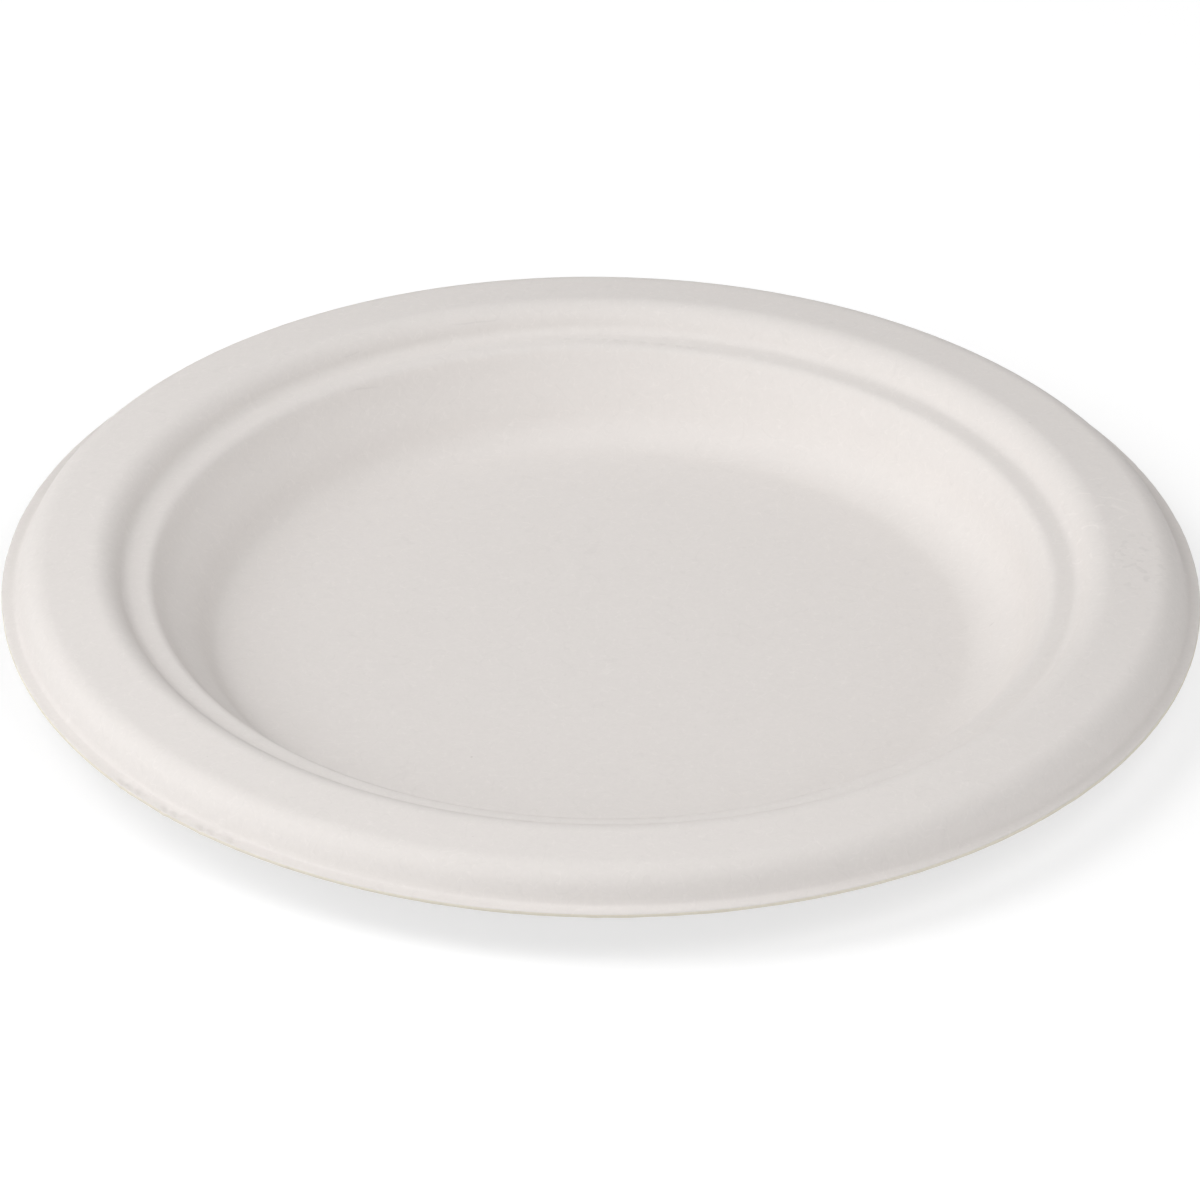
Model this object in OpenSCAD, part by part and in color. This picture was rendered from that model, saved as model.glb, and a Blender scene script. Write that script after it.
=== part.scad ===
// Round plate moulded from sugar-cane pulp, in millimetres.
// The origin is on the table, under the middle of the floor, with +Z up.
// The plate is one wall of even thickness, turned about Z. Its upper face is a
// line of straight runs joined by round bends: floor, well, ledge, step, rim,
// outer roll and flange. The underside is the same line, one wall further down.

/* [Plate] */
// Diameter across the trimmed edge
plate_d = 180; // [160:1:260]
// Thickness of the pressed wall
wall = 0.6; // [0.4:0.05:1]

/* [Well] */
// Height of the well's wall, from the floor's plane to the ledge's inner corner
well_h = 11; // [8:0.1:16]
// Slope of the well's wall from level, in degrees
well_slope = 51; // [42:1:65]
// Radius of the bend from the floor to the wall
well_bend = 8.6; // [4:0.1:16]
// Radius of the bend from the wall to the ledge
ledge_bend = 2.2; // [1.6:0.1:5]

/* [Ledge and step] */
// Width of the ledge, corner to corner
ledge_w = 4.1; // [3:0.1:7]
// Rise of the ledge towards the rim, in degrees
ledge_rise = 1.5; // [0:0.5:10]
// Radius of the bend from the ledge to the step
step_bend = 2.1; // [1:0.1:3]
// Height of the step, corner to corner
step_h = 3.5; // [2.5:0.1:6]
// Slope of the step from level, in degrees
step_slope = 57; // [40:1:65]

/* [Rim] */
// Radius of the bend over the rim's crest
crest_bend = 4.5; // [3:0.1:6]
// Width of the rim's top, corner to corner
rim_w = 12; // [8:0.1:18]
// Fall of the rim's top towards the edge, in degrees
rim_fall = 6.5; // [4:0.5:16]
// Radius of the bend from the rim's top to the outer roll
roll_bend = 4.7; // [3:0.1:8]
// Height of the outer roll, corner to corner
roll_h = 4.9; // [3:0.1:8]
// Slope of the outer roll from level, in degrees
roll_slope = 67; // [45:1:75]

/* [Flange] */
// Radius of the bend from the outer roll to the flange
flange_bend = 0.6; // [0.4:0.1:4]
// Width of the flange, from its corner to the trimmed edge
flange_w = 1.9; // [1:0.1:4]
// Fall of the flange towards the edge, in degrees
flange_fall = 6; // [0:1:25]

/* [Hidden] */
// Degrees of bend between two points of an arc
ARC_STEP = 4;
PULP = [0.86, 0.84, 0.825];
$fn = 180;

// Runs of the upper face outwards from the floor, corner to corner: [across, up]
RUNS = [
    [well_h / tan(well_slope), well_h],
    [ledge_w, ledge_w * tan(ledge_rise)],
    [step_h / tan(step_slope), step_h],
    [rim_w, -rim_w * tan(rim_fall)],
    [roll_h / tan(roll_slope), -roll_h],
    [flange_w, -flange_w * tan(flange_fall)]
];
// Radius of the bend at the inner corner of each run
BENDS = [well_bend, ledge_bend, step_bend, crest_bend, roll_bend, flange_bend];
// Where the floor's plane meets the line of the well's wall
FLOOR_CORNER = [plate_d / 2 - climb(len(RUNS)).x, wall];
// The axis, the inner corner of each run, and the edge
CORNERS = concat([[0, wall]], [for (i = [0:len(RUNS)]) FLOOR_CORNER + climb(i)]);
EDGE = CORNERS[len(RUNS) + 1];

// How far the first n runs go, as [across, up]
function climb(n) = n == 0 ? [0, 0] : climb(n - 1) + RUNS[n - 1];

// The line from corner i to the next
function line(i) = CORNERS[i + 1] - CORNERS[i];

function slope(i) = atan2(line(i).y, line(i).x);

function turn(i) = slope(i) - slope(i - 1);

// Length of line that the bend at corner i takes on each side, with none at the ends
function reach(i) =
    i < 1 || i > len(BENDS) ? 0 : BENDS[i - 1] * tan(abs(turn(i)) / 2);

// Share of line i that its two bends may take, where they would overlap
function room(i) = min(1, norm(line(i)) / (reach(i) + reach(i + 1)));

// Bend radius at corner i, limited by the lines beside it
function radius(i) = BENDS[i - 1] * min(room(i - 1), room(i));

// Unit vector square to a slope, on its upper side
function square_to(angle) = [-sin(angle), cos(angle)];

// Points of the bend at corner i, at a depth under the upper face
function bend(i, depth) =
    let (
        side = sign(turn(i)),
        start = CORNERS[i] - radius(i) * tan(abs(turn(i)) / 2) * line(i - 1) / norm(line(i - 1)),
        centre = start + side * radius(i) * square_to(slope(i - 1)),
        steps = ceil(abs(turn(i)) / ARC_STEP)
    )
    [
        for (k = [0:steps])
            centre - (side * radius(i) + depth) * square_to(slope(i - 1) + turn(i) * k / steps)
    ];

// The whole face at a depth under the upper one, from the axis to the upright cut at the edge
function face(depth) =
    concat(
        [CORNERS[0] - [0, depth]],
        [for (i = [1:len(BENDS)]) each bend(i, depth)],
        [EDGE - [0, depth / cos(flange_fall)]]
    );

function reversed(points) = [for (i = [len(points) - 1:-1:0]) points[i]];

module plate() {
    color(PULP)
        rotate_extrude()
            polygon(concat(reversed(face(0)), face(wall)));
}

plate();
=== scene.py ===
# %% [markdown]
# A plate of moulded pulp
#
# The object is a small round plate, pressed in one go from wet sugar-cane pulp
# and trimmed at its edge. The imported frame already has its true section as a
# solid. This lesson takes that section, turns it into a finer mesh, gives it
# the small faults of a real pressing, and then lights, frames and colours it.
# Everything is in metres, in the frame of the solid: the origin is on the
# table, under the middle of the floor, with +Z up.

# %% Load the frame
import math

import bpy
from mathutils import Matrix, Vector


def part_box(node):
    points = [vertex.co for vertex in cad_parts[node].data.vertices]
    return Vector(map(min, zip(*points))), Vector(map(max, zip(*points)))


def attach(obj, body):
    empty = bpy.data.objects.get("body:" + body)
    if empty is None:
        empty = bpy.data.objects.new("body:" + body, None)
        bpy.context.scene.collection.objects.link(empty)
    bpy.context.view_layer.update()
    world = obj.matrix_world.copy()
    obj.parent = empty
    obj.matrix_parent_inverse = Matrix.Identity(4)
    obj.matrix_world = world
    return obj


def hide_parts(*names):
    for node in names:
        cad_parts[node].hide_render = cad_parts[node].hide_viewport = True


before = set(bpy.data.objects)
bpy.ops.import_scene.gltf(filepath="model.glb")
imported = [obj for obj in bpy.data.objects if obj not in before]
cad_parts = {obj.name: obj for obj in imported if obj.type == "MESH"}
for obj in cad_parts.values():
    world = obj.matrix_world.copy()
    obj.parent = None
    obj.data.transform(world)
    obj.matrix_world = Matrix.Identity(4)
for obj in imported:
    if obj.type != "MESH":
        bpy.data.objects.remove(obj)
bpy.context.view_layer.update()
MM = 0.001
plate_low, plate_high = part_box("plate")
rim_radius = plate_high.x
print("the plate is", round(rim_radius * 2 / MM, 1), "mm across")

# %% [markdown]
# Two helpers for edit mode
#
# An operator acts on what is selected, so every step below has the same
# rhythm: deselect, select by place, run the operator. By hand this is a click
# or a box select. In code it is a test on each point's position.


# %% Select by place
def only(piece):
    """Deselects everything and makes this piece the selected and active one."""
    bpy.ops.object.select_all(action="DESELECT")
    piece.select_set(True)
    bpy.context.view_layer.objects.active = piece


def pick(piece, wanted, kind="VERT"):
    """Leaves the piece in edit mode with only the wanted vertices, edges or faces selected."""
    only(piece)
    bpy.ops.object.mode_set(mode="EDIT")
    bpy.ops.mesh.select_mode(type=kind)
    bpy.ops.mesh.select_all(action="DESELECT")
    bpy.ops.object.mode_set(mode="OBJECT")
    parts = {"VERT": piece.data.vertices, "EDGE": piece.data.edges, "FACE": piece.data.polygons}[kind]
    chosen = [part for part in parts if wanted(part)]
    for part in chosen:
        part.select = True
    bpy.ops.object.mode_set(mode="EDIT")
    return len(chosen)


def leave_edit_mode():
    bpy.ops.object.mode_set(mode="OBJECT")


def apply_modifier(piece, kind, **settings):
    """Adds a modifier with these settings and applies it."""
    only(piece)
    modifier = piece.modifiers.new(kind.lower(), kind)
    for name, value in settings.items():
        setattr(modifier, name, value)
    bpy.ops.object.modifier_apply(modifier=modifier.name)


# %% [markdown]
# Cut the section out of the solid
#
# The wall has one thickness all over, and its section is a line of straight
# runs and round bends. It could be drawn again point by point, but then two
# files would hold the same sizes. Here a copy of the solid's mesh is merged
# and cut by a plane through the axis. Bisect keeps neither side, so what is
# left is the bare outline, and a second cut keeps its right half.

# %% Section of the wall
WELD = 0.001 * MM

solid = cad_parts["plate"]
plate = bpy.data.objects.new("pulp_plate", solid.data.copy())
bpy.context.scene.collection.objects.link(plate)
plate.data.materials.clear()
pick(plate, lambda vertex: True)
bpy.ops.mesh.remove_doubles(threshold=WELD)
bpy.ops.mesh.bisect(plane_co=(0, 0, 0), plane_no=(0, 1, 0), clear_inner=True, clear_outer=True)
bpy.ops.mesh.select_all(action="SELECT")
bpy.ops.mesh.bisect(plane_co=(0, 0, 0), plane_no=(1, 0, 0), clear_inner=True)
leave_edit_mode()
print("the section has", len(plate.data.vertices), "points")


# %% Walk along the section
def walk(piece):
    """The section's vertex numbers in order, from the upper face's middle to the underside's."""
    beside = {}
    for edge in piece.data.edges:
        first, second = edge.vertices
        beside.setdefault(first, []).append(second)
        beside.setdefault(second, []).append(first)
    ends = [number for number, near in beside.items() if len(near) == 1]
    start = max(ends, key=lambda number: piece.data.vertices[number].co.z)
    order = [start]
    while len(order) < len(beside):
        order.append(next(n for n in beside[order[-1]] if n not in order[-2:]))
    return order


def underside(piece):
    """The vertex numbers of the lower line, from the foot of the trimmed edge inwards."""
    order = walk(piece)
    radii = [piece.data.vertices[number].co.x for number in order]
    turn = max(index for index, radius in enumerate(radii) if radius > rim_radius - WELD)
    return set(order[turn:])


# %% [markdown]
# Space the points of the section
#
# The tight bends have more points than a close view needs, and the straight
# runs have none between their ends. A merge by distance thins the first, and
# subdivide fills the second, because the small faults added later need points
# to move. The underside is seen less, so its bends are thinned once more. The
# trimmed edge is only a wall thick, and a few points there let it fray. The
# die presses its upper corner a little round, which a bevel of one point does.


# %% Edges of the section
def length(piece, edge):
    first, second = (piece.data.vertices[number].co for number in edge.vertices)
    return (first - second).length


def least_radius(piece, edge):
    """How near an edge of the section comes to the axis."""
    return min(piece.data.vertices[number].co.x for number in edge.vertices)


def ends_of(piece, edge):
    """Where an edge ends. Its number changes when others are cut, and this doesn't."""
    return frozenset(tuple(piece.data.vertices[number].co) for number in edge.vertices)


def fill(piece, gap, wanted):
    """Cuts each wanted edge into equal lengths no longer than the gap."""
    cuts = {}
    for edge in piece.data.edges:
        if wanted(edge):
            count = math.ceil(length(piece, edge) / gap) - 1
            cuts.setdefault(count, set()).add(ends_of(piece, edge))
    for count, edges in cuts.items():
        if count > 0:
            pick(piece, lambda edge: ends_of(piece, edge) in edges, "EDGE")
            bpy.ops.mesh.subdivide(number_cuts=count)
            leave_edit_mode()


def flat_reach(piece):
    """How far the flat floor reaches from the axis."""
    line = [piece.data.vertices[number].co for number in walk(piece)]
    first_off = next(index for index, point in enumerate(line) if abs(point.z - line[0].z) > WELD)
    return line[first_off - 1].x


# %% Thin the bends
BEND_GAP = 0.25 * MM
CORNER_ROUND = 0.25 * MM
CORNER_STEPS = 3
# Bends of the underside smaller than this lose their points
UNDERSIDE_BEND = math.radians(7.9)


def top_of_cut(vertex):
    return vertex.co.x > rim_radius - WELD and vertex.index not in below


def in_lower_bends(vertex):
    """The points of the underside between its flat floor and the cut."""
    return vertex.index in below and floor_radius + WELD < vertex.co.x < rim_radius - WELD


pick(plate, lambda vertex: True)
bpy.ops.mesh.remove_doubles(threshold=BEND_GAP)
leave_edit_mode()
floor_radius = flat_reach(plate)
below = underside(plate)
pick(plate, top_of_cut)
bpy.ops.mesh.bevel(offset=CORNER_ROUND, segments=CORNER_STEPS, affect="VERTICES")
leave_edit_mode()
below = underside(plate)
pick(plate, in_lower_bends)
bpy.ops.mesh.dissolve_limited(angle_limit=UNDERSIDE_BEND)
leave_edit_mode()
print("the floor is flat to", round(floor_radius / MM, 1), "mm from the axis")

# %% Fill the straight runs
WALL_GAP = 0.85 * MM
UNDERSIDE_GAP = 1.7 * MM
FLOOR_GAP = 5.2 * MM
CUT_GAP = 0.16 * MM


def on_floor(edge):
    return least_radius(plate, edge) < floor_radius - WELD


def on_cut(edge):
    return least_radius(plate, edge) > rim_radius - WELD


below = underside(plate)
fill(plate, UNDERSIDE_GAP, lambda edge: set(edge.vertices) <= below and not on_floor(edge))
below = underside(plate)
fill(plate, WALL_GAP, lambda edge: not set(edge.vertices) <= below and not on_floor(edge))
fill(plate, FLOOR_GAP, on_floor)
fill(plate, CUT_GAP, on_cut)
print("now", len(plate.data.vertices), "points,", len(underside(plate)), "of them on the underside")

# %% [markdown]
# Turn the section about the axis
#
# A lathe does this with clay, and it suits any round thing of even section.
# The spin tool would do, but it slows down with many steps. The Screw
# modifier with no rise makes the same turn at once. It leaves a bunch of
# points on the axis, so they are merged, and the normals then face outwards.

# %% Turn
TURN_STEPS = 512


def triangles(piece):
    return sum(len(face.vertices) - 2 for face in piece.data.polygons)


apply_modifier(
    plate, "SCREW", axis="Z", angle=math.tau, steps=TURN_STEPS, render_steps=TURN_STEPS,
    use_merge_vertices=True, merge_threshold=WELD,
)
pick(plate, lambda vertex: True)
bpy.ops.mesh.remove_doubles(threshold=WELD)
bpy.ops.mesh.normals_make_consistent(inside=False)
bpy.ops.mesh.select_all(action="DESELECT")
bpy.ops.mesh.select_non_manifold()
leave_edit_mode()
open_edges = sum(edge.select for edge in plate.data.edges)
print(triangles(plate), "triangles, open edges:", open_edges)

# %% [markdown]
# Small faults of the pressing
#
# A pressed plate is never as even as its mould. The felt dries a little
# unevenly, the die frays the trimmed edge, and this plate has a row of small
# dents beside the edge and faint ticks at the foot of the step. They could be
# bump in the material, but then the outline and the mesh would stay perfect.
# The Displace modifier moves the points themselves. A vertex group says where
# and how much, and its weights are worked out from each point's position.

# %% Places on the plate
def at(azimuth, radius):
    """A place seen from above, by its azimuth from +X in degrees and its distance from the axis."""
    around = math.radians(azimuth)
    return Vector((math.cos(around), math.sin(around))) * radius


def fall_off(away):
    """1 at no distance, falling softly to 0 at a distance of one."""
    return max(0.0, 1 - away * away) ** 2


def hill(point, centre, width):
    """1 at the centre, falling softly to 0 at this distance from it."""
    return fall_off((point.xy - centre).length / width)


def weigh(piece, name, rule):
    """Adds a vertex group in which each point's weight comes from its position."""
    group = piece.vertex_groups.new(name=name)
    for vertex in piece.data.vertices:
        weight = rule(vertex.co)
        if weight > 0:
            group.add([vertex.index], min(1.0, weight), "REPLACE")
    return name


def clouds(name, size):
    """A soft noise for the Displace modifier, with blobs of this size."""
    texture = bpy.data.textures.new(name, "CLOUDS")
    texture.noise_scale = size
    return texture


# %% [markdown]
# The set of the well
#
# In the photograph the shade at the foot of the well is short and steep on the
# left and long and soft on the right. The lower wall of this plate sits about
# a millimetre to the right of its rim: the press didn't close quite square. A
# shift along X, strongest a third of the way up the wall, gives it that set.
# Both faces of the wall take the same weight where it is measured along the
# slope, so the wall keeps its thickness.

# %% Shift the lower wall
WELL_SLOPE = math.radians(51)
SET_MIDDLE, SET_REACH = 42 * MM, 6.5 * MM
SET_SHIFT = 1.3 * MM


def set_of_well(point):
    """1 low on the well's wall, falling softly to 0 on the floor and under the ledge."""
    up_the_wall = point.xy.length * math.cos(WELL_SLOPE) + point.z * math.sin(WELL_SLOPE)
    return fall_off((up_the_wall - SET_MIDDLE) / SET_REACH)


apply_modifier(
    plate, "DISPLACE", direction="X", strength=SET_SHIFT, mid_level=0,
    vertex_group=weigh(plate, "well_set", set_of_well),
)
print("the lower wall sits", round(SET_SHIFT / MM, 1), "mm to the right")

# %% [markdown]
# Dents and ticks
#
# The dents beside the trimmed edge stand where the photograph shows them. The
# ticks are a row along the foot of the step, evenly spaced but for a small
# stray, so a loop places them. The mesh is too coarse there for such small
# hollows, so the faces around each place are subdivided first.

# %% Dents and ticks
# Azimuth in degrees and distance inside the trimmed edge in millimetres
DENT_PLACES = [
    (-142.0, 0.6), (-140.8, 0.7), (-139.5, 0.9), (-135.6, 0.6),
    (-134.4, 0.8), (-130.9, 0.7), (-129.5, 0.9), (-127.2, 1.1),
]
DENTS = [at(azimuth, rim_radius - inside * MM) for azimuth, inside in DENT_PLACES]
DENT_WIDTH, DENT_DEPTH = 1.1 * MM, 0.32 * MM
# Azimuth of the first tick, from one to the next and stray, in degrees
TICK_START, TICK_PITCH, TICK_STRAY = 79, 1.9, 0.5
# Radius of the first tick and how much further out the next is, in millimetres
TICK_RADIUS, TICK_OUTWARDS = 68.9, 0.13
TICK_STEPS = range(9)
TICK_AZIMUTHS = [
    TICK_START + TICK_PITCH * step + TICK_STRAY * math.sin(5 * step) for step in TICK_STEPS
]
TICKS = [
    at(azimuth, (TICK_RADIUS + TICK_OUTWARDS * step) * MM)
    for step, azimuth in zip(TICK_STEPS, TICK_AZIMUTHS)
]
TICK_WIDTH, TICK_DEPTH = 0.9 * MM, 0.08 * MM
DENT_CUTS = 2
# How far around a dent the faces are subdivided, as a multiple of its width
DENT_MARGIN = 2


def near(point, centres, width):
    return any((point.xy - centre).length < width for centre in centres)


def dent(piece, name, centres, width, depth):
    """Refines the upper face around some places and pushes them down."""
    margin = DENT_MARGIN * width
    pick(piece, lambda face: face.normal.z > 0 and near(face.center, centres, margin), "FACE")
    bpy.ops.mesh.subdivide(number_cuts=DENT_CUTS)
    leave_edit_mode()
    group = weigh(piece, name, lambda point: max(hill(point, centre, width) for centre in centres))
    apply_modifier(
        piece, "DISPLACE", direction="Z", strength=-depth, mid_level=0, vertex_group=group,
    )


dent(plate, "edge_dents", DENTS, DENT_WIDTH, DENT_DEPTH)
dent(plate, "step_ticks", TICKS, TICK_WIDTH, TICK_DEPTH)
print("with dents and ticks", triangles(plate), "triangles")

# %% [markdown]
# Frayed edge and uneven felt
#
# The last two faults have no places of their own. A clouds texture on local
# coordinates moves the points in and out along their normals, over a tenth of
# a millimetre on the trimmed edge and a few hundredths from the well outwards.
# The floor stays flat, because the plate stands on it.

# %% Fray and felt
FRAY_SIZE, FRAY_DEPTH = 2.4 * MM, 0.12 * MM
FELT_SIZE, FELT_DEPTH = 7 * MM, 0.03 * MM
FELT_RADIUS = 62 * MM
FRAY_BAND = 0.15 * MM


def on_edge(point):
    return 1.0 if point.xy.length > rim_radius - FRAY_BAND else 0.0


def on_wall(point):
    """0 on the flat floor, rising evenly to 1 low on the well's wall."""
    rise = (point.xy.length - floor_radius) / (FELT_RADIUS - floor_radius)
    return max(0.0, min(1.0, rise))


def roughen(piece, name, size, depth, rule):
    """Moves the points in and out by a soft noise, where and as far as the rule says."""
    apply_modifier(
        piece, "DISPLACE", direction="NORMAL", texture=clouds(name, size), texture_coords="LOCAL",
        strength=depth, mid_level=0.5, vertex_group=weigh(piece, name + "_weight", rule),
    )


roughen(plate, "fray", FRAY_SIZE, FRAY_DEPTH, on_edge)
roughen(plate, "felt", FELT_SIZE, FELT_DEPTH, on_wall)
print("the plate is now", [round(side / MM, 2) for side in plate.dimensions], "mm")

# %% [markdown]
# Camera
#
# The photograph was taken from far away through a long lens, 31.6 degrees
# above the table, with the camera turned a little about its own axis. The
# lens follows from the distance and from how large the plate is in the
# picture. The plate isn't in the middle of the picture, so the lens is
# shifted a little, which keeps the view's angle as it is.

# %% Camera
PICTURE_SIDE = 1200
RIM_PIXELS = 598.6
ORIGIN_PIXELS = (600.4, 643.75)
CAMERA_HEIGHT = math.radians(31.63)
CAMERA_ROLL = math.radians(0.67)
CAMERA_DISTANCE = 3.6
FILM_WIDTH = 36

towards_camera = Vector((0, -math.cos(CAMERA_HEIGHT), math.sin(CAMERA_HEIGHT)))
turned = (-towards_camera).to_track_quat("-Z", "Y").to_matrix() @ Matrix.Rotation(CAMERA_ROLL, 3, "Z")
bpy.ops.object.camera_add(location=towards_camera * CAMERA_DISTANCE, rotation=turned.to_euler())
camera = bpy.context.object
camera.data.sensor_width = FILM_WIDTH
camera.data.lens = FILM_WIDTH * RIM_PIXELS / PICTURE_SIDE * CAMERA_DISTANCE / rim_radius
camera.data.shift_x = -(ORIGIN_PIXELS[0] - PICTURE_SIDE / 2) / PICTURE_SIDE
camera.data.shift_y = (ORIGIN_PIXELS[1] - PICTURE_SIDE / 2) / PICTURE_SIDE
bpy.context.scene.camera = camera
bpy.context.scene.view_settings.view_transform = "Standard"
print("the lens is", round(camera.data.lens), "mm")

# %% [markdown]
# Light
#
# The photograph has the soft light of a product tent: no hard shadow, the
# left side of every wall a little brighter than the right, and no glare. One
# large lamp would give too much contrast, so wide round lamps stand around
# the plate at several heights. Together they light a level surface so that
# its colour renders as it is written.

# %% Lamps
LAMP_REACH = 1.5
LAMP_WIDTH = 1.0
# Azimuth from the camera towards the right, height, both in degrees, and power in watts
LAMPS = {
    "left_high": (270, 58, 8.2),
    "right_high": (45, 58, 7.1),
    "left_middle": (270, 40, 6.0),
    "left_low": (270, 22, 6.4),
    "front_low": (0, 22, 6.3),
    "right_low": (90, 22, 4.1),
    "far_right_level": (135, 5, 3.0),
}

for name, (azimuth, height, power) in LAMPS.items():
    around, up = math.radians(azimuth), math.radians(height)
    out = Vector((math.sin(around) * math.cos(up), -math.cos(around) * math.cos(up), math.sin(up)))
    facing = out.to_track_quat("Z", "Y").to_euler()
    bpy.ops.object.light_add(type="AREA", location=out * LAMP_REACH, rotation=facing)
    lamp = bpy.context.object
    lamp.name = name
    lamp.data.shape = "DISK"
    lamp.data.size = LAMP_WIDTH
    lamp.data.energy = power
print(len(LAMPS), "lamps")

# %% [markdown]
# Helpers for materials
#
# A node tree is a formula drawn as boxes and wires. Written in code it is
# easier to read when each box is one call that takes values or wires and
# gives its own output back. Sizes go in as real sizes. A noise texture on
# object coordinates has a scale of one over the size of its blobs.


# %% Wires for node trees
def box(tree, kind, inputs=None, **settings):
    """Adds a node, with inputs by name or number from values or from other nodes' outputs."""
    made = tree.nodes.new("ShaderNode" + kind)
    for name, value in settings.items():
        setattr(made, name, value)
    for key, value in (inputs or {}).items():
        if isinstance(value, bpy.types.NodeSocket):
            tree.links.new(value, made.inputs[key])
        else:
            made.inputs[key].default_value = value
    return made


def calc(tree, operation, *values):
    """One step of arithmetic on numbers."""
    return box(tree, "Math", dict(enumerate(values)), operation=operation).outputs[0]


def ramp(tree, value, start, end, low=0.0, high=1.0):
    """A number that goes softly from low to high as the value goes from start to end."""
    inputs = {"Value": value, "From Min": start, "From Max": end, "To Min": low, "To Max": high}
    return box(tree, "MapRange", inputs, interpolation_type="SMOOTHSTEP").outputs["Result"]


def mix_shaders(tree, share, first, second):
    return box(tree, "MixShader", {0: share, 1: first, 2: second}).outputs[0]


def mix_colours(tree, share, first, second):
    """The two colours mixed. Inputs 6 and 7 of the node are its colours, and output 2 the mix."""
    return box(tree, "Mix", {0: share, 6: first, 7: second}, data_type="RGBA").outputs[2]


def object_place(tree):
    return box(tree, "TexCoord").outputs["Object"]


def noise(tree, place, size, detail=0.0, roughness=0.5):
    """Soft blobs of about this size, around a middle value of a half."""
    inputs = {"Vector": place, "Scale": 1 / size, "Detail": detail, "Roughness": roughness}
    return box(tree, "TexNoise", inputs).outputs["Fac"]


def seen_directly(tree):
    """1 for rays that show the background as it is: from the camera, or by a mirror or glass."""
    rays = box(tree, "LightPath").outputs
    mirrored = calc(tree, "MAXIMUM", rays["Is Glossy Ray"], rays["Is Transmission Ray"])
    return calc(tree, "MAXIMUM", rays["Is Camera Ray"], mirrored)


# %% [markdown]
# Background
#
# The plate stands in front of white. The world is white for the camera, and
# for mirrors and glass, and dark for everything else, so that only the lamps
# light the plate.

# %% World
WHITE = (1, 1, 1, 1)
DARK, BRIGHT = 0.0, 1.0

world = bpy.data.worlds.new("tent")
world.use_nodes = True
bpy.context.scene.world = world
sky = world.node_tree
dark_sky = sky.nodes["Background"]
dark_sky.inputs["Color"].default_value = WHITE
dark_sky.inputs["Strength"].default_value = DARK
white_sky = box(sky, "Background", {"Color": WHITE, "Strength": BRIGHT})
sky_shown = mix_shaders(sky, seen_directly(sky), dark_sky.outputs[0], white_sky.outputs[0])
sky.links.new(sky_shown, sky.nodes["World Output"].inputs["Surface"])
print("the backdrop is white")

# %% [markdown]
# Table
#
# The table top is plain pale paint to the light. What the camera sees of it
# is thinner paint over a glow that lights nothing: white where the lamps
# reach it, with a light and soft shadow of the plate. Further out the table
# fades into the backdrop.

# %% Table top
TABLE_WIDTH = 12
# The table lies this far under the plate, so that the two never share a plane
TABLE_DROP = 0.02 * MM

table_place = (0, 0, plate_low.z - TABLE_DROP)
bpy.ops.mesh.primitive_plane_add(size=TABLE_WIDTH, location=table_place)
table = bpy.context.object
table.name = "table_top"
print("the table is", TABLE_WIDTH, "m wide")

# %% Paint of the table
TABLE_COLOUR = (0.85, 0.85, 0.85, 1)
THIN_COLOUR = (0.4, 0.4, 0.4, 1)
TABLE_GLOW = 0.66
# Distances from the plate's axis between which the table turns into the backdrop
FADE_START, FADE_END = 0.25, 0.6

paint = bpy.data.materials.new("table_paint")
paint.use_nodes = True
table.data.materials.append(paint)
tree = paint.node_tree
tree.nodes.clear()
matt = box(tree, "BsdfDiffuse", {"Color": TABLE_COLOUR}).outputs[0]
thin = box(tree, "BsdfDiffuse", {"Color": THIN_COLOUR}).outputs[0]
glow = box(tree, "Emission", {"Color": WHITE, "Strength": TABLE_GLOW}).outputs[0]
lifted = box(tree, "AddShader", {0: thin, 1: glow}).outputs[0]
backdrop = box(tree, "Emission", {"Color": WHITE, "Strength": BRIGHT}).outputs[0]
away = box(tree, "VectorMath", {0: object_place(tree)}, operation="LENGTH").outputs["Value"]
far = mix_shaders(tree, ramp(tree, away, FADE_START, FADE_END), lifted, backdrop)
shown = mix_shaders(tree, seen_directly(tree), matt, far)
box(tree, "OutputMaterial", {"Surface": shown})
print("the table fades out from", FADE_START, "to", FADE_END, "m")

# %% [markdown]
# Pressed pulp
#
# Up close the plate is a felt of short cane fibres. From a step away it reads
# as matt off-white with a faint grain, and here and there a lighter or darker
# fibre. A photograph of pulp could be wrapped on it, but a pattern made of
# noise has no seams on a bowl and stays sharp at any distance. A fibre is
# drawn where a soft noise passes through its middle value: that is a thin
# wavy line, and a second noise cuts it into short lengths. All of it is
# faint, because a pressing is smooth: heights are a few thousandths of a
# millimetre, and colours differ by a few parts in a hundred.

# %% Fibres in the felt
NOISE_MIDDLE = 0.5
# How much a smooth noise changes over one blob where it passes its middle value
NOISE_SLOPE = 0.9
# The values of the cutting noise between which a fibre fades in
CUT_START, CUT_END = 0.5, 0.58


def shifted(tree, place, way):
    """The same place moved this far, so that two noises don't follow each other."""
    return box(tree, "VectorMath", {0: place, 1: (way, way / 2, -way)}, operation="ADD").outputs[0]


def fibres(tree, place, shift, curl, width, cut):
    """1 on wavy lines of this width that bend over the curl's length and are cut into lengths."""
    here = shifted(tree, place, shift)
    off_line = calc(tree, "ABSOLUTE", calc(tree, "SUBTRACT", noise(tree, here, curl), NOISE_MIDDLE))
    line = ramp(tree, off_line, NOISE_SLOPE * width / curl, 0)
    lengths = ramp(tree, noise(tree, shifted(tree, here, curl), cut), CUT_START, CUT_END)
    return calc(tree, "MULTIPLY", line, lengths)


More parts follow.
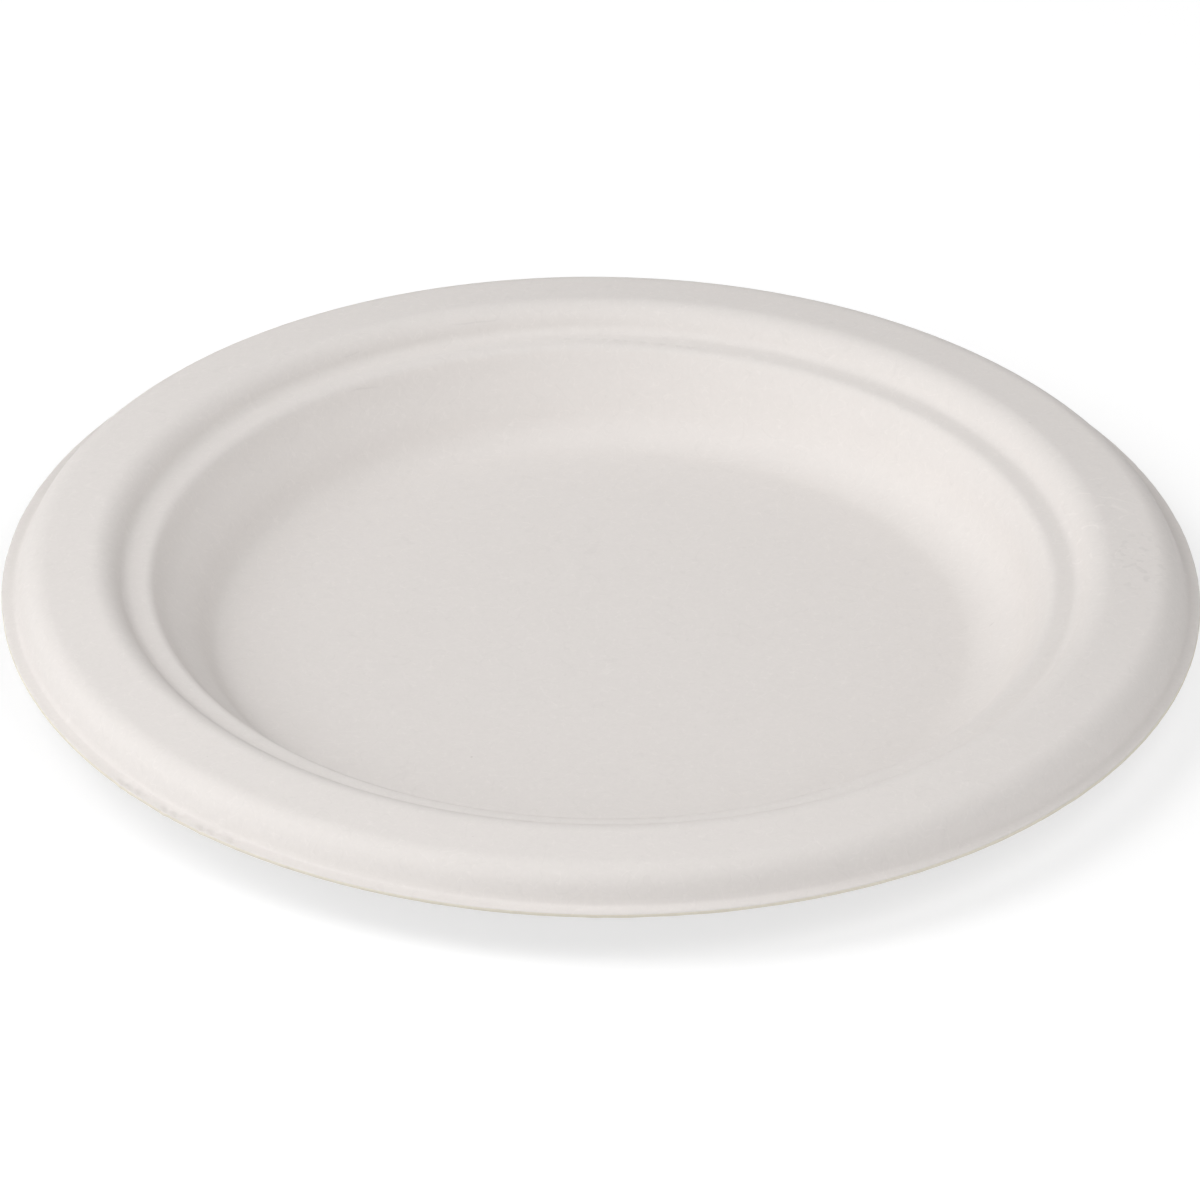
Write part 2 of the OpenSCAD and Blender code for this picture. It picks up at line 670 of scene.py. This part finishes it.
# %% [markdown]
# One recipe for all three finishes
#
# Each noise or fibre is a mark: a mask from 0 to 1, the tone that it adds to
# the colour where it is 1, and the height that it adds to the surface. One
# list of marks gives the colour and the bump, so that a dark fibre also lies a
# little lower. A finish may add marks of its own to the list.

# %% Colours and marks of the pulp
PULP_COLOUR = (0.737, 0.702, 0.678, 1)
TRIM_COLOUR = (0.735, 0.688, 0.592, 1)
FLECK_COLOUR = (0.34, 0.31, 0.27, 1)
NO_FLECKS = 0.0
# Size of the blobs, shift, layers of detail, tone, and height in millimetres
NOISES = {
    "grain": (0.45 * MM, 0, 2, 0.036, 0.006),
    "mottle": (1.1 * MM, 1.1 * MM, 1, 0.036, 0.01),
    "blotch": (6 * MM, 6 * MM, 1, 0.016, 0),
}
# Shift, curl, width, cut, tone, and height in millimetres
FIBRES = {
    "long pale": (5 * MM, 4 * MM, 0.09 * MM, 2.2 * MM, 0.022, 0.002),
    "short pale": (-9 * MM, 1.7 * MM, 0.07 * MM, 1.1 * MM, 0.03, 0.002),
    "dark": (14 * MM, 3 * MM, 0.09 * MM, 1.6 * MM, -0.022, -0.002),
}


def total(tree, start, terms):
    """The start plus each mask times its amount."""
    for mask, amount in terms:
        if amount:
            start = calc(tree, "MULTIPLY_ADD", mask, amount, start)
    return start


# %% A finish of pulp
# The grain's values between which the roughness goes from the most to the least
GRAIN_LOW, GRAIN_HIGH = 0.3, 0.7
MOST_ROUGH, LEAST_ROUGH = 0.95, 0.86
SPECULAR_LEVEL = 0.2


def pulp_finish(name, colour, tooth, own_marks=None):
    """Matt pulp of this colour. Tooth scales how far its marks stand out."""
    material = bpy.data.materials.new(name)
    material.use_nodes = True
    tree = material.node_tree
    shader = tree.nodes["Principled BSDF"]
    place = object_place(tree)
    marks = []
    for size, shift, detail, tone, height in NOISES.values():
        marks.append((noise(tree, shifted(tree, place, shift), size, detail), tone, height))
    grain = marks[0][0]
    middle = 1 - NOISE_MIDDLE * sum(tone for mask, tone, height in marks)
    for shift, curl, width, cut, tone, height in FIBRES.values():
        marks.append((fibres(tree, place, shift, curl, width, cut), tone, height))
    flecks = own_marks(tree, place, marks) if own_marks else NO_FLECKS
    tone = total(tree, middle, [(mask, tone) for mask, tone, height in marks])
    toned = box(tree, "VectorMath", {0: colour[:3], "Scale": tone}, operation="SCALE").outputs[0]
    tree.links.new(mix_colours(tree, flecks, toned, FLECK_COLOUR), shader.inputs["Base Color"])
    roughness = ramp(tree, grain, GRAIN_LOW, GRAIN_HIGH, MOST_ROUGH, LEAST_ROUGH)
    tree.links.new(roughness, shader.inputs["Roughness"])
    shader.inputs["Specular IOR Level"].default_value = SPECULAR_LEVEL
    height = total(tree, 0.0, [(mask, height) for mask, tone, height in marks])
    raised = calc(tree, "MULTIPLY", height, tooth)
    bump = box(tree, "Bump", {"Height": raised, "Distance": MM, "Strength": 1.0})
    tree.links.new(bump.outputs["Normal"], shader.inputs["Normal"])
    return material


print("pulp of", len(NOISES), "noises and", len(FIBRES), "kinds of fibre")

# %% [markdown]
# Marks of the upper face
#
# This plate has a few marks of its own: small dark flecks of bagasse and some
# wavy hairlines along the far rim. On a patch on the right of the rim, pale
# wavy streaks are painted highlights where small creases catch the light, and
# dark specks are painted shade of small pits. The flange beside the cut is
# painted a little darker. The dents and ticks are real hollows, and painted
# shade darkens them further. Each is a mask. A spot is an upright column of
# oval section, made by a Mapping node that turns the oval into a circle of
# radius one. A hairline is a thin ring around the axis, cut short by a spot.

# %% Spots and hairlines
# The share of a spot's reach over which its mask is 1
SPOT_CORE = 0.4
HAIRLINE_WIDTH = 0.16 * MM
HAIRLINE_WAVE = 0.8 * MM
HAIRLINE_CURL = 5 * MM
# A hairline keeps within this distance of its middle radius
HAIRLINE_BAND = 2 * MM


def spot(tree, place, centre, reach, turn=0.0):
    """1 inside an upright oval column, 0 outside."""
    half_length, half_width = reach
    inputs = {
        "Vector": place, "Location": (centre.x, centre.y, 0),
        "Rotation": (0, 0, math.radians(turn)), "Scale": (half_length, half_width, 1),
    }
    oval = box(tree, "Mapping", inputs, vector_type="TEXTURE").outputs[0]
    away = box(tree, "VectorMath", {0: oval}, operation="LENGTH").outputs["Value"]
    return ramp(tree, away, 1.0, SPOT_CORE)


def from_axis(tree, place):
    flat = box(tree, "VectorMath", {0: place, 1: (1, 1, 0)}, operation="MULTIPLY").outputs[0]
    return box(tree, "VectorMath", {0: flat}, operation="LENGTH").outputs["Value"]


def hairline(tree, place, azimuth, radius, length):
    """1 on a thin wavy line along the rim, of this length."""
    wave = calc(tree, "MULTIPLY", noise(tree, place, HAIRLINE_CURL), HAIRLINE_WAVE)
    waved = calc(tree, "ADD", from_axis(tree, place), wave)
    off_line = calc(tree, "SUBTRACT", waved, radius + HAIRLINE_WAVE / 2)
    line = ramp(tree, calc(tree, "ABSOLUTE", off_line), HAIRLINE_WIDTH, 0)
    end = spot(tree, place, at(azimuth, radius), (length / 2, HAIRLINE_BAND), azimuth + 90)
    return calc(tree, "MULTIPLY", line, end)


# %% Marks of this plate
# Azimuth in degrees, radius, half length and half width in millimetres, turn in degrees, strength
FLECKS = [
    (-119.5, 38.6, 0.26, 0.22, 20, 0.32),
    (-103.3, 80.2, 0.2, 0.16, 0, 0.16),
    (-135.7, 81.0, 0.2, 0.16, 60, 0.16),
    (32.5, 76.7, 0.34, 0.2, 10, 0.2),
    (4.3, 59.0, 0.68, 0.18, 48, 0.16),
]
# Azimuth of the middle in degrees, radius and length in millimetres
HAIRLINES = [(121.9, 72.8, 3.7), (105.6, 73.4, 9.0), (123.0, 66.8, 5.8)]
HAIRLINE_TONE, HAIRLINE_HEIGHT = -0.05, -0.01
# Where the painted highlights of the creases and the painted shade of the pits are, and how far they
# reach along X and Y
CREASE_PATCH, CREASE_PATCH_REACH = at(9, 75.6 * MM), (7 * MM, 21 * MM)
PITS, PITS_REACH = at(1, 80.7 * MM), (6 * MM, 12 * MM)
# Shift, curl, width and cut of the streaks of painted highlight, and their tone
CREASE_STREAKS, CREASE_HIGHLIGHT_TONE = (21 * MM, 4 * MM, 0.2 * MM, 2.2 * MM), 0.06
# The pits' tone is painted shade
PIT_SHIFT, PIT_SIZE, PIT_SHADE_TONE = 33 * MM, 1.2 * MM, -0.055
# The painted shade of a pit is where the noise falls from the first value to the second
PIT_BRIM, PIT_BOTTOM = 0.42, 0.28
FLANGE_START, FLANGE_END = rim_radius - 2.1 * MM, rim_radius - 1.4 * MM
FLANGE_TONE = -0.025
# Half length and half width of the painted shade in a dent and in a tick
DENT_SHADE_REACH = (1.8 * MM, 0.55 * MM)
TICK_SHADE_REACH = (0.75 * MM, 0.4 * MM)
# Tone of the painted shade in the dents and ticks
DENT_SHADE_TONE = -0.045


def patch_highlight_and_shade(tree, place):
    """The masks of the painted highlights of small creases and of the painted shade of small pits in
    the rougher patch on the rim.
    """
    crease_streaks = fibres(tree, place, *CREASE_STREAKS)
    pit_noise = noise(tree, shifted(tree, place, PIT_SHIFT), PIT_SIZE)
    pits = ramp(tree, pit_noise, PIT_BRIM, PIT_BOTTOM)
    crease_highlights = calc(tree, "MULTIPLY", spot(tree, place, CREASE_PATCH, CREASE_PATCH_REACH), crease_streaks)
    pit_shade = calc(tree, "MULTIPLY", spot(tree, place, PITS, PITS_REACH), pits)
    return crease_highlights, pit_shade


def face_marks(tree, place, marks):
    """Adds this plate's marks to the list, and returns the mask of its flecks."""
    for azimuth, radius, length in HAIRLINES:
        line = hairline(tree, place, azimuth, radius * MM, length * MM)
        marks.append((line, HAIRLINE_TONE, HAIRLINE_HEIGHT))
    crease_highlights, pit_shade = patch_highlight_and_shade(tree, place)
    # Painted highlights where small creases catch the light, and painted shade in small pits
    marks.append((crease_highlights, CREASE_HIGHLIGHT_TONE, 0))
    marks.append((pit_shade, PIT_SHADE_TONE, 0))
    flange = ramp(tree, from_axis(tree, place), FLANGE_START, FLANGE_END)
    marks.append((flange, FLANGE_TONE, 0))
    # Painted shade over each dent and tick
    for (azimuth, inside), centre in zip(DENT_PLACES, DENTS):
        painted_shade = spot(tree, place, centre, DENT_SHADE_REACH, azimuth + 90)
        marks.append((painted_shade, DENT_SHADE_TONE, 0))
    for azimuth, centre in zip(TICK_AZIMUTHS, TICKS):
        painted_shade = spot(tree, place, centre, TICK_SHADE_REACH, azimuth + 90)
        marks.append((painted_shade, DENT_SHADE_TONE, 0))
    flecks = NO_FLECKS
    for azimuth, radius, half_length, half_width, turn, strength in FLECKS:
        size = (half_length * MM, half_width * MM)
        mask = spot(tree, place, at(azimuth, radius * MM), size, turn)
        flecks = calc(tree, "MULTIPLY_ADD", mask, strength, flecks)
    return flecks


print(len(FLECKS), "flecks,", len(HAIRLINES), "hairlines and a rougher patch")

# %% [markdown]
# Marks of the underside
#
# The underside isn't in the photograph. Wet pulp is sucked onto a wire
# screen, and what faces the screen keeps a faint woven grain. It is drawn as
# two sets of waves at right angles, and only as bump, because it is a
# hundredth of a millimetre deep.

# %% Screen grain
SCREEN_PITCH = 0.9 * MM
# In millimetres, as the heights of the other marks
SCREEN_DEPTH = 0.004


def screen_marks(tree, place, marks):
    """Adds the screen's woven grain to the list of marks."""
    parts = box(tree, "SeparateXYZ", {0: place})
    waves = [
        calc(tree, "SINE", calc(tree, "MULTIPLY", parts.outputs[axis], math.tau / SCREEN_PITCH))
        for axis in ("X", "Y")
    ]
    marks.append((calc(tree, "MULTIPLY", *waves), 0, SCREEN_DEPTH))
    return NO_FLECKS


print("the screen's threads are", round(SCREEN_PITCH / MM, 1), "mm apart")

# %% [markdown]
# Three finishes on one skin
#
# The upper face, the underside and the trimmed edge are one piece of pulp
# with three looks. By hand each look is a material slot that is assigned to
# selected faces. In code the faces are selected by where they are and which
# way they point.

# %% Material slots
# The most that an upright face's normal may point up or down
UPRIGHT = 0.5
EDGE_BAND = 0.3 * MM
# How far the marks of each finish stand out
FACE_TOOTH, SCREEN_TOOTH, TRIM_TOOTH = 1.0, 1.6, 3.0


def on_top(face):
    return face.normal.z > 0


def underneath(face):
    return face.normal.z <= 0


def trimmed(face):
    return face.center.xy.length > rim_radius - EDGE_BAND and abs(face.normal.z) < UPRIGHT


def give(piece, material, wanted):
    """Puts the material in a new slot and assigns it to the wanted faces."""
    only(piece)
    bpy.ops.object.material_slot_add()
    piece.material_slots[piece.active_material_index].material = material
    count = pick(piece, wanted, "FACE")
    bpy.ops.object.material_slot_assign()
    leave_edit_mode()
    print(material.name, "on", count, "faces")


give(plate, pulp_finish("pressed_face", PULP_COLOUR, FACE_TOOTH, face_marks), on_top)
give(plate, pulp_finish("screened_underside", PULP_COLOUR, SCREEN_TOOTH, screen_marks), underneath)
give(plate, pulp_finish("trimmed_edge", TRIM_COLOUR, TRIM_TOOTH), trimmed)

# %% [markdown]
# Shading
#
# Smooth shading hides the small faces of the mesh. The trimmed edge has to
# stay crisp, so edges that turn more than 40 degrees are left sharp.

# %% Smooth
SHARP_ANGLE = 40

only(plate)
bpy.ops.object.shade_smooth_by_angle(angle=math.radians(SHARP_ANGLE))
print("smooth, apart from edges over", SHARP_ANGLE, "degrees")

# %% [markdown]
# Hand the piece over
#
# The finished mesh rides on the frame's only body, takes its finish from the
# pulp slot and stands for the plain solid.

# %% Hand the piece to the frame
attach(plate, "root")
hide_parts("plate")
